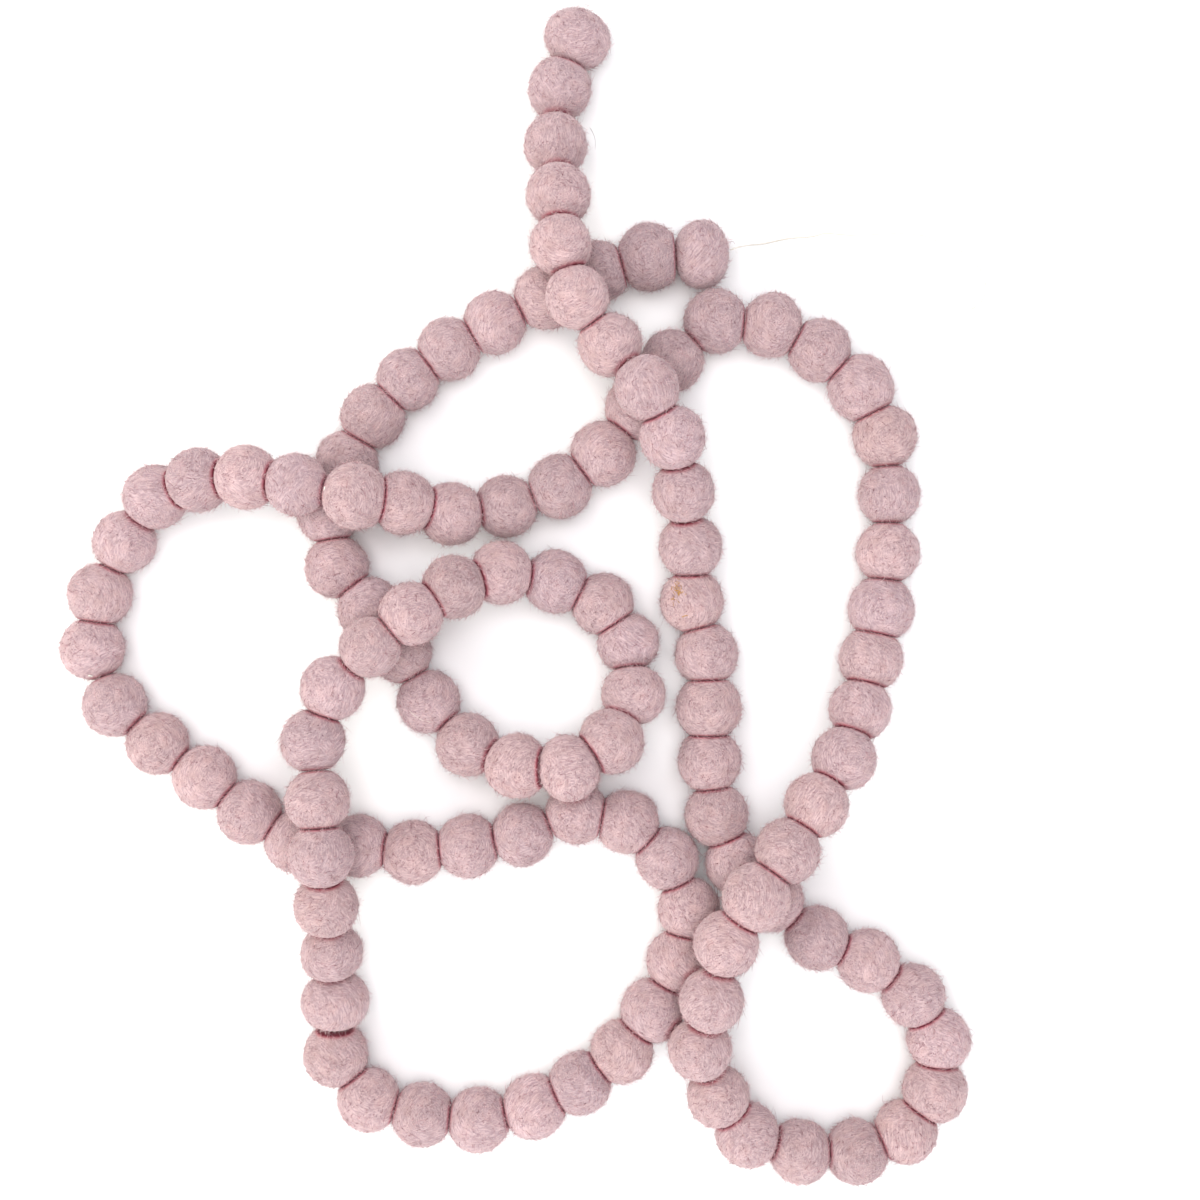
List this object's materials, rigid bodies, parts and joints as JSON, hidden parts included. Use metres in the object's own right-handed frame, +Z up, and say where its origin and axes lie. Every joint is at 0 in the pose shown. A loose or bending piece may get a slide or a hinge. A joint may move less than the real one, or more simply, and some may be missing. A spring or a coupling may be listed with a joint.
{
  "type": "felt ball garland",
  "caption": "Garland of round felted wool balls threaded close together on a string, lying in loose loops that cross, with a loose thread at its end.",
  "frame": {"origin": "on the table, under the middle of the box round the balls as they lie", "axes": "+Z up from the table, +Y towards the string's upper end, +X towards the loops at the right"},
  "size_m": [0.3008, 0.3786, 0.0385],
  "materials": {
    "felt_dusty_pink": "matt felted wool, dusty pink",
    "felt_warm_pink": "matt felted wool, warm pink",
    "felt_grey_mauve": "matt felted wool, grey mauve",
    "felt_pale_pink": "matt felted wool, pale pink",
    "felt_deep_mauve": "matt felted wool, deep mauve",
    "cotton_thread": "off-white cotton thread"
  },
  "bodies": {
    "root": {"balls_001_002": "felt_dusty_pink", "balls_003_004": "felt_warm_pink", "balls_005_006": "felt_grey_mauve", "balls_007_008": "felt_pale_pink", "balls_009_010": "felt_deep_mauve", "balls_011_012": "felt_dusty_pink", "balls_013_014": "felt_warm_pink", "balls_015_016": "felt_grey_mauve", "balls_017_018": "felt_pale_pink", "balls_019_020": "felt_deep_mauve", "balls_021_022": "felt_dusty_pink", "balls_023_024": "felt_warm_pink", "balls_025_026": "felt_grey_mauve", "balls_027_028": "felt_pale_pink", "balls_029_030": "felt_deep_mauve", "balls_031_032": "felt_dusty_pink", "balls_033_034": "felt_warm_pink", "balls_035_036": "felt_grey_mauve", "balls_037_038": "felt_pale_pink", "balls_039_040": "felt_deep_mauve", "balls_041_042": "felt_dusty_pink", "balls_043_044": "felt_warm_pink", "balls_045_046": "felt_grey_mauve", "balls_047_048": "felt_pale_pink", "balls_049_050": "felt_deep_mauve", "balls_051_052": "felt_dusty_pink", "balls_053_054": "felt_warm_pink", "balls_055_056": "felt_grey_mauve", "balls_057_058": "felt_pale_pink", "balls_059_060": "felt_deep_mauve", "balls_061_062": "felt_dusty_pink", "balls_063_064": "felt_warm_pink", "balls_065_066": "felt_grey_mauve", "balls_067_068": "felt_pale_pink", "balls_069_070": "felt_deep_mauve", "balls_071_072": "felt_dusty_pink", "balls_073_074": "felt_warm_pink", "balls_075_076": "felt_grey_mauve", "balls_077_078": "felt_pale_pink", "balls_079_080": "felt_deep_mauve", "balls_081_082": "felt_dusty_pink", "balls_083_084": "felt_warm_pink", "balls_085_086": "felt_grey_mauve", "balls_087_088": "felt_pale_pink", "balls_089_090": "felt_deep_mauve", "balls_091_092": "felt_dusty_pink", "balls_093_094": "felt_warm_pink", "balls_095_096": "felt_grey_mauve", "balls_097_098": "felt_pale_pink", "balls_099_100": "felt_deep_mauve", "balls_101_102": "felt_dusty_pink", "balls_103_104": "felt_warm_pink", "balls_105_106": "felt_grey_mauve", "balls_107_108": "felt_pale_pink", "balls_109_110": "felt_deep_mauve", "balls_111_112": "felt_dusty_pink", "balls_113_114": "felt_warm_pink", "ball_115": "felt_grey_mauve", "thread_tail": "cotton_thread"}
  },
  "joints": []
}
